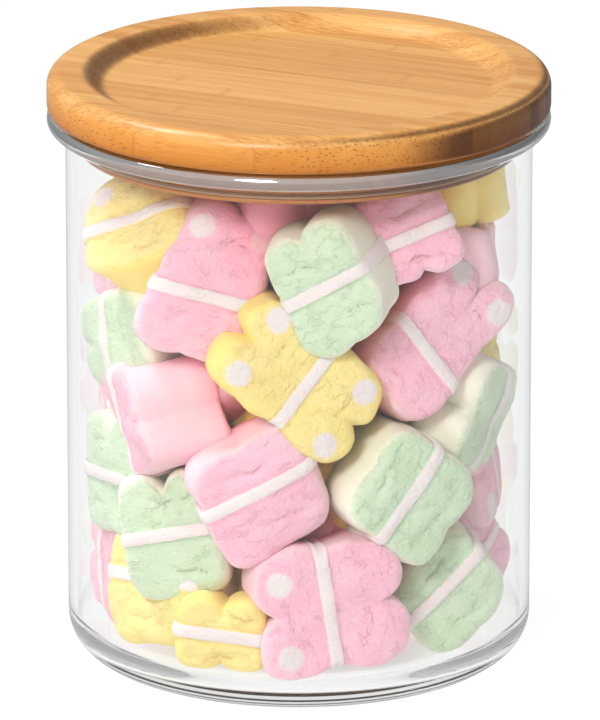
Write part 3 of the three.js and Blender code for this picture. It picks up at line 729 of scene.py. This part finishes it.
def marshmallowMaterial(name, cut, side, deep):
    material, tree, shader = newMaterial(name)
    local = addNode(tree, "ShaderNodeAttribute", attribute_name="local").outputs["Vector"]
    marks = addNode(tree, "ShaderNodeAttribute", attribute_name="marks").outputs["Vector"]
    lot = addNode(tree, "ShaderNodeAttribute", attribute_name="lot").outputs["Fac"]
    x = addNode(tree, "ShaderNodeSeparateXYZ", {0: local}).outputs["X"]
    fromAxis = vectorMaths(tree, "LENGTH", vectorMaths(tree, "MULTIPLY", objectPlace(tree), (1000, 1000, 0)))
    marksApart = addNode(tree, "ShaderNodeSeparateXYZ", {0: marks})
    fromDot, crease, onFace = (marksApart.outputs[key] for key in "XYZ")
    # every marshmallow takes its pattern from a place of its own
    shift = addNode(tree, "ShaderNodeCombineXYZ", {"X": maths(tree, "MULTIPLY", lot, 517.0),
                                                   "Y": maths(tree, "MULTIPLY", lot, 231.0)}).outputs[0]
    place = vectorMaths(tree, "ADD", local, shift)
    soft = noise(tree, place, 0.12, 2.0)
    mottle = noise(tree, place, 0.75, 4.0, 0.62)
    powder = noise(tree, place, 2.6, 3.0, 0.65)
    # fine wrinkles of the cut faces: edges of warped cells drawn out along the stripe, kept here and there
    drift = addNode(tree, "ShaderNodeTexNoise",
                    {"Vector": place, "Scale": 0.5, "Detail": 3.0}).outputs["Color"]
    bent = vectorMaths(tree, "MULTIPLY_ADD", drift, (4, 4, 4), place)
    drawn = vectorMaths(tree, "MULTIPLY", bent, (1, 0.4, 1))
    cells = addNode(tree, "ShaderNodeTexVoronoi", {"Vector": drawn, "Scale": 0.26},
                    feature="DISTANCE_TO_EDGE")
    crack = fade(tree, cells.outputs["Distance"], 0.0, 0.09, 1.0, 0.0)
    crack = maths(tree, "MULTIPLY", crack, fade(tree, noise(tree, place, 0.2, 2.0), 0.44, 0.6))
    crack = maths(tree, "MULTIPLY", crack, maths(tree, "MULTIPLY_ADD", onFace, 0.9, 0.1))
    # the ragged crack beside the stripe
    fold = maths(tree, "MULTIPLY", fade(tree, crease, 0.1, 0.6, 1.0, 0.0), onFace)
    # the white stripe, and the line along its edges that gets painted shade
    wobble = maths(tree, "MULTIPLY_ADD", mottle, 0.9, -0.45)
    fromLine = maths(tree, "ABSOLUTE", maths(tree, "ADD", x, wobble))
    offStripe = maths(tree, "SUBTRACT", fromLine, sweet["stripe"])
    stripe = fade(tree, offStripe, -0.25, 0.25, 1.0, 0.0)
    seam = fade(tree, maths(tree, "ABSOLUTE", maths(tree, "SUBTRACT", offStripe, 0.35)), 0.0, 0.4, 1.0, 0.0)
    seam = maths(tree, "MULTIPLY", seam, fade(tree, soft, 0.35, 0.6, 0.2, 1.0))
    dot = fade(tree, maths(tree, "ADD", fromDot, maths(tree, "MULTIPLY", wobble, 1.6)), sweet["dot"] - 0.7,
               sweet["dot"] + 0.7, 1.0, 0.0)
    white = maths(tree, "MAXIMUM", stripe, dot)
    rimward = maths(tree, "ADD", onFace, maths(tree, "MULTIPLY", maths(tree, "SUBTRACT", mottle, 0.5), 0.5))
    colour = blendColour(tree, fade(tree, rimward, 0.35, 0.98), side, cut)
    paler = tuple(0.55 * v + 0.45 for v in side[:3]) + (1,)
    colour = blendColour(tree, fade(tree, powder, 0.45, 0.75, 0.0, 0.30), colour, paler)
    colour = blendColour(tree, fade(tree, soft, 0.3, 0.7, 0.0, 0.18), colour, paler)
    colour = blendColour(tree, white, colour, cream)
    crack = maths(tree, "MULTIPLY", crack, maths(tree, "MULTIPLY_ADD", white, -0.9, 1.0))
    lines = maths(tree, "MAXIMUM", fold, maths(tree, "MULTIPLY", seam, sweet["seamShare"]))
    lines = maths(tree, "MAXIMUM", maths(tree, "MULTIPLY", crack, sweet["crackShare"]), lines)
    darker = tuple(v ** 1.7 * 0.75 for v in cut[:3]) + (1,)
    # painted shade: the cracks, the creases and the grooves beside the stripe are darkened
    colour = blendColour(tree, maths(tree, "MULTIPLY", lines, 0.38), colour, darker)
    # painted shade: further in from the glass the colour goes deeper, then almost to the shade colour, for
    # light lost between the marshmallows
    richer = tuple(v ** 2.4 for v in cut[:3]) + (1,)
    colour = blendColour(tree, fade(tree, fromAxis, 38.0, 49.0, 0.6, 0.0), colour, richer)
    colour = blendColour(tree, fade(tree, fromAxis, 33.0, 43.0, 0.95, 0.0), colour, deep)
    tree.links.new(colour, shader.inputs["Base Color"])
    tree.links.new(fade(tree, powder, 0.3, 0.7, 0.72, 0.9), shader.inputs["Roughness"])
    shader.inputs["Specular IOR Level"].default_value = sweet["specular"]
    shader.inputs["Subsurface Weight"].default_value = sweet["subsurface"]
    shader.inputs["Subsurface Radius"].default_value = (1.0, 0.55, 0.45)
    shader.inputs["Subsurface Scale"].default_value = sweet["subsurfaceReach"]
    shader.inputs["Sheen Weight"].default_value = sweet["sheen"]
    shader.inputs["Sheen Roughness"].default_value = sweet["sheenRoughness"]
    rough = maths(tree, "MULTIPLY_ADD", onFace, 0.7, 0.2)
    wrinkle = maths(tree, "MULTIPLY", maths(tree, "SUBTRACT", mottle, 0.5), rough)
    height = maths(tree, "MULTIPLY_ADD", powder, sweet["powderDepth"], wrinkle)
    height = maths(tree, "SUBTRACT", height, maths(tree, "MULTIPLY", lines, sweet["lineDepth"]))
    bump(tree, height, shader)
    return material


def makeMarshmallows():
    placed, outer = layOut()
    kinds = {}
    for index, one in enumerate(placed):
        detail = 1.0 if index < outer else sweet["innerDetail"]
        points, quads, tris, local, marks = sweetMesh(one, sweet["firstSeed"] + index, detail)
        turned = points @ sweetAxes(one)
        centre = placeSweet(turned, one)
        name = one["colour"] + ("Dotted" if one["dotted"] else "Plain") + "Sweets"
        # steps of the golden ratio keep any two lots apart
        lot = np.full(len(points), (index * 0.618034) % 1)
        kinds.setdefault(name, []).append((turned + centre, quads, tris, local, marks, lot))
    for name, group in kinds.items():
        colour = next(key for key in shades if name.startswith(key))
        starts = np.cumsum([0] + [len(part[0]) for part in group])
        points = np.vstack([part[0] for part in group])
        faces = np.vstack([part[1] + start for part, start in zip(group, starts)]).tolist()
        faces += np.vstack([part[2] + start for part, start in zip(group, starts)]).tolist()
        piece = meshPiece(name, points * mm, faces, marshmallowMaterial(name, *shades[colour]))
        fields = (("local", "FLOAT_VECTOR", 3), ("marks", "FLOAT_VECTOR", 4), ("lot", "FLOAT", 5))
        for label, kind, values in fields:
            field = piece.data.attributes.new(label, kind, "POINT")
            together = np.concatenate([part[values] for part in group]).astype(np.float32)
            field.data.foreach_set("vector" if kind == "FLOAT_VECTOR" else "value", together.ravel())
        ride(piece, "marshmallow", "marshmallows")
        triangles = sum(len(face) - 2 for face in faces)
        print(f"{name}: {len(group)} marshmallows, {triangles} triangles")


makeMarshmallows()

# what can't be seen in the middle of the heap, coloured dark red as painted shade
core = {"radius": 16, "bottom": 9.5, "top": 140, "rounding": 4, "sides": 96,
        "colours": ((0.30, 0.04, 0.02, 1), (0.45, 0.10, 0.05, 1))}


def coreMaterial(spec):
    material, tree, shader = newMaterial("shadedCore")
    place = objectPlace(tree)
    cloud = noise(tree, place, 120.0, 4.0)
    colour = blendColour(tree, cloud, *spec["colours"])
    tree.links.new(colour, shader.inputs["Base Color"])
    tree.links.new(fade(tree, cloud, 0.3, 0.7, 0.8, 0.95), shader.inputs["Roughness"])
    bump(tree, cloud, shader)
    return material


def makeCore(spec):
    low, high, rounding = spec["bottom"], spec["top"], spec["rounding"]
    middle = spec["radius"] - rounding
    profile = [[0, low], arc(middle, low + rounding, rounding, -90, 0, 5),
               arc(middle, high - rounding, rounding, 0, 90, 5), [0, high]]
    piece = turnedPiece("sweetCore", profile, spec["sides"], coreMaterial(spec))
    ride(piece, "marshmallow", "marshmallows")


makeCore(core)
print("marshmallows made")

studio = {
    "floorColours": ((0.10, 0.10, 0.10, 1), (0.11, 0.11, 0.11, 1)), "floorReach": 4,
    "glow": 0.93, "mirrored": 0.4,
    "roomBright": 0.72, "roomDim": 0.30, "brightSide": (-0.58, -0.58, 0.57), "roomMirrored": 0.75,
    "roomThrough": 0.95, "aimHeight": 0.08, "anyBounces": 28, "glassBounces": 28, "glossyBounces": 20,
    "key": {"place": (-0.42, -1.15, 0.88), "size": 0.4, "power": 12.5},
    "top": {"place": (-0.55, 0.15, 1.0), "size": 0.32, "power": 6.5},
}


def dimmedInMirrors(tree, strength, share):
    # the strength, or only a share of it where the first surface met mirrors it, as a black card would
    path = addNode(tree, "ShaderNodeLightPath")
    mirrored = maths(tree, "MULTIPLY", path.outputs["Is Reflection Ray"], path.outputs["Is Glossy Ray"])
    mirrored = maths(tree, "MULTIPLY", mirrored, maths(tree, "LESS_THAN", path.outputs["Ray Depth"], 1.5))
    return maths(tree, "MULTIPLY", strength, maths(tree, "MULTIPLY_ADD", mirrored, share - 1, 1.0))


def makeFloor(spec):
    material, tree, shader = newMaterial("paleFloor")
    place = objectPlace(tree)
    cloud = noise(tree, place, 6.0, 2.0)
    colour = blendColour(tree, cloud, *spec["floorColours"])
    tree.links.new(colour, shader.inputs["Base Color"])
    shader.inputs["Roughness"].default_value = 0.8
    shader.inputs["Specular IOR Level"].default_value = 0.0
    # a light table: white right up to the jar, but faint where the jar's front mirrors it
    shader.inputs["Emission Color"].default_value = (1, 1, 1, 1)
    tree.links.new(dimmedInMirrors(tree, spec["glow"], spec["mirrored"]), shader.inputs["Emission Strength"])
    corners = spec["floorReach"] * np.array([[-1, -1, 0], [1, -1, 0], [1, 1, 0], [-1, 1, 0]], float)
    floor = meshPiece("floor", corners, [[0, 1, 2, 3]], material, smooth=False)


def makeLamp(name, spec, aimHeight):
    data = bpy.data.lights.new(name, "AREA")
    data.shape = "DISK"
    data.size = spec["size"]
    data.energy = spec["power"]
    lamp = bpy.data.objects.new(name, data)
    lamp.location = spec["place"]
    aim = np.array([0, 0, aimHeight]) - spec["place"]
    lamp.rotation_euler = (math.atan2(math.hypot(aim[0], aim[1]), -aim[2]), 0, math.atan2(-aim[0], aim[1]))
    bpy.context.collection.objects.link(lamp)


def makeRoom(spec):
    # a white tent, bright at the upper left and dimmer at the lower right
    world = bpy.data.worlds.new("room")
    bpy.context.scene.world = world
    world.use_nodes = True
    tree = world.node_tree
    back = tree.nodes["Background"]
    towards = addNode(tree, "ShaderNodeTexCoord").outputs["Generated"]
    side = vectorMaths(tree, "DOT_PRODUCT", towards, spec["brightSide"])
    strength = fade(tree, side, -0.8, 0.9, spec["roomDim"], spec["roomBright"])
    # through the glass the room looks evenly white
    path = addNode(tree, "ShaderNodeLightPath")
    through = maths(tree, "MULTIPLY", path.outputs["Is Transmission Ray"], spec["roomThrough"])
    strength = maths(tree, "MAXIMUM", dimmedInMirrors(tree, strength, spec["roomMirrored"]), through)
    tree.links.new(strength, back.inputs["Strength"])
    back.inputs["Color"].default_value = (1, 1, 1, 1)


makeFloor(studio)
for lampName in ("key", "top"):
    makeLamp(lampName, studio[lampName], studio["aimHeight"])
makeRoom(studio)
scene = bpy.context.scene
scene.view_settings.view_transform = "Standard"
scene.cycles.max_bounces = studio["anyBounces"]
scene.cycles.transmission_bounces = studio["glassBounces"]
scene.cycles.glossy_bounces = studio["glossyBounces"]
print("floor, lamps and room made")
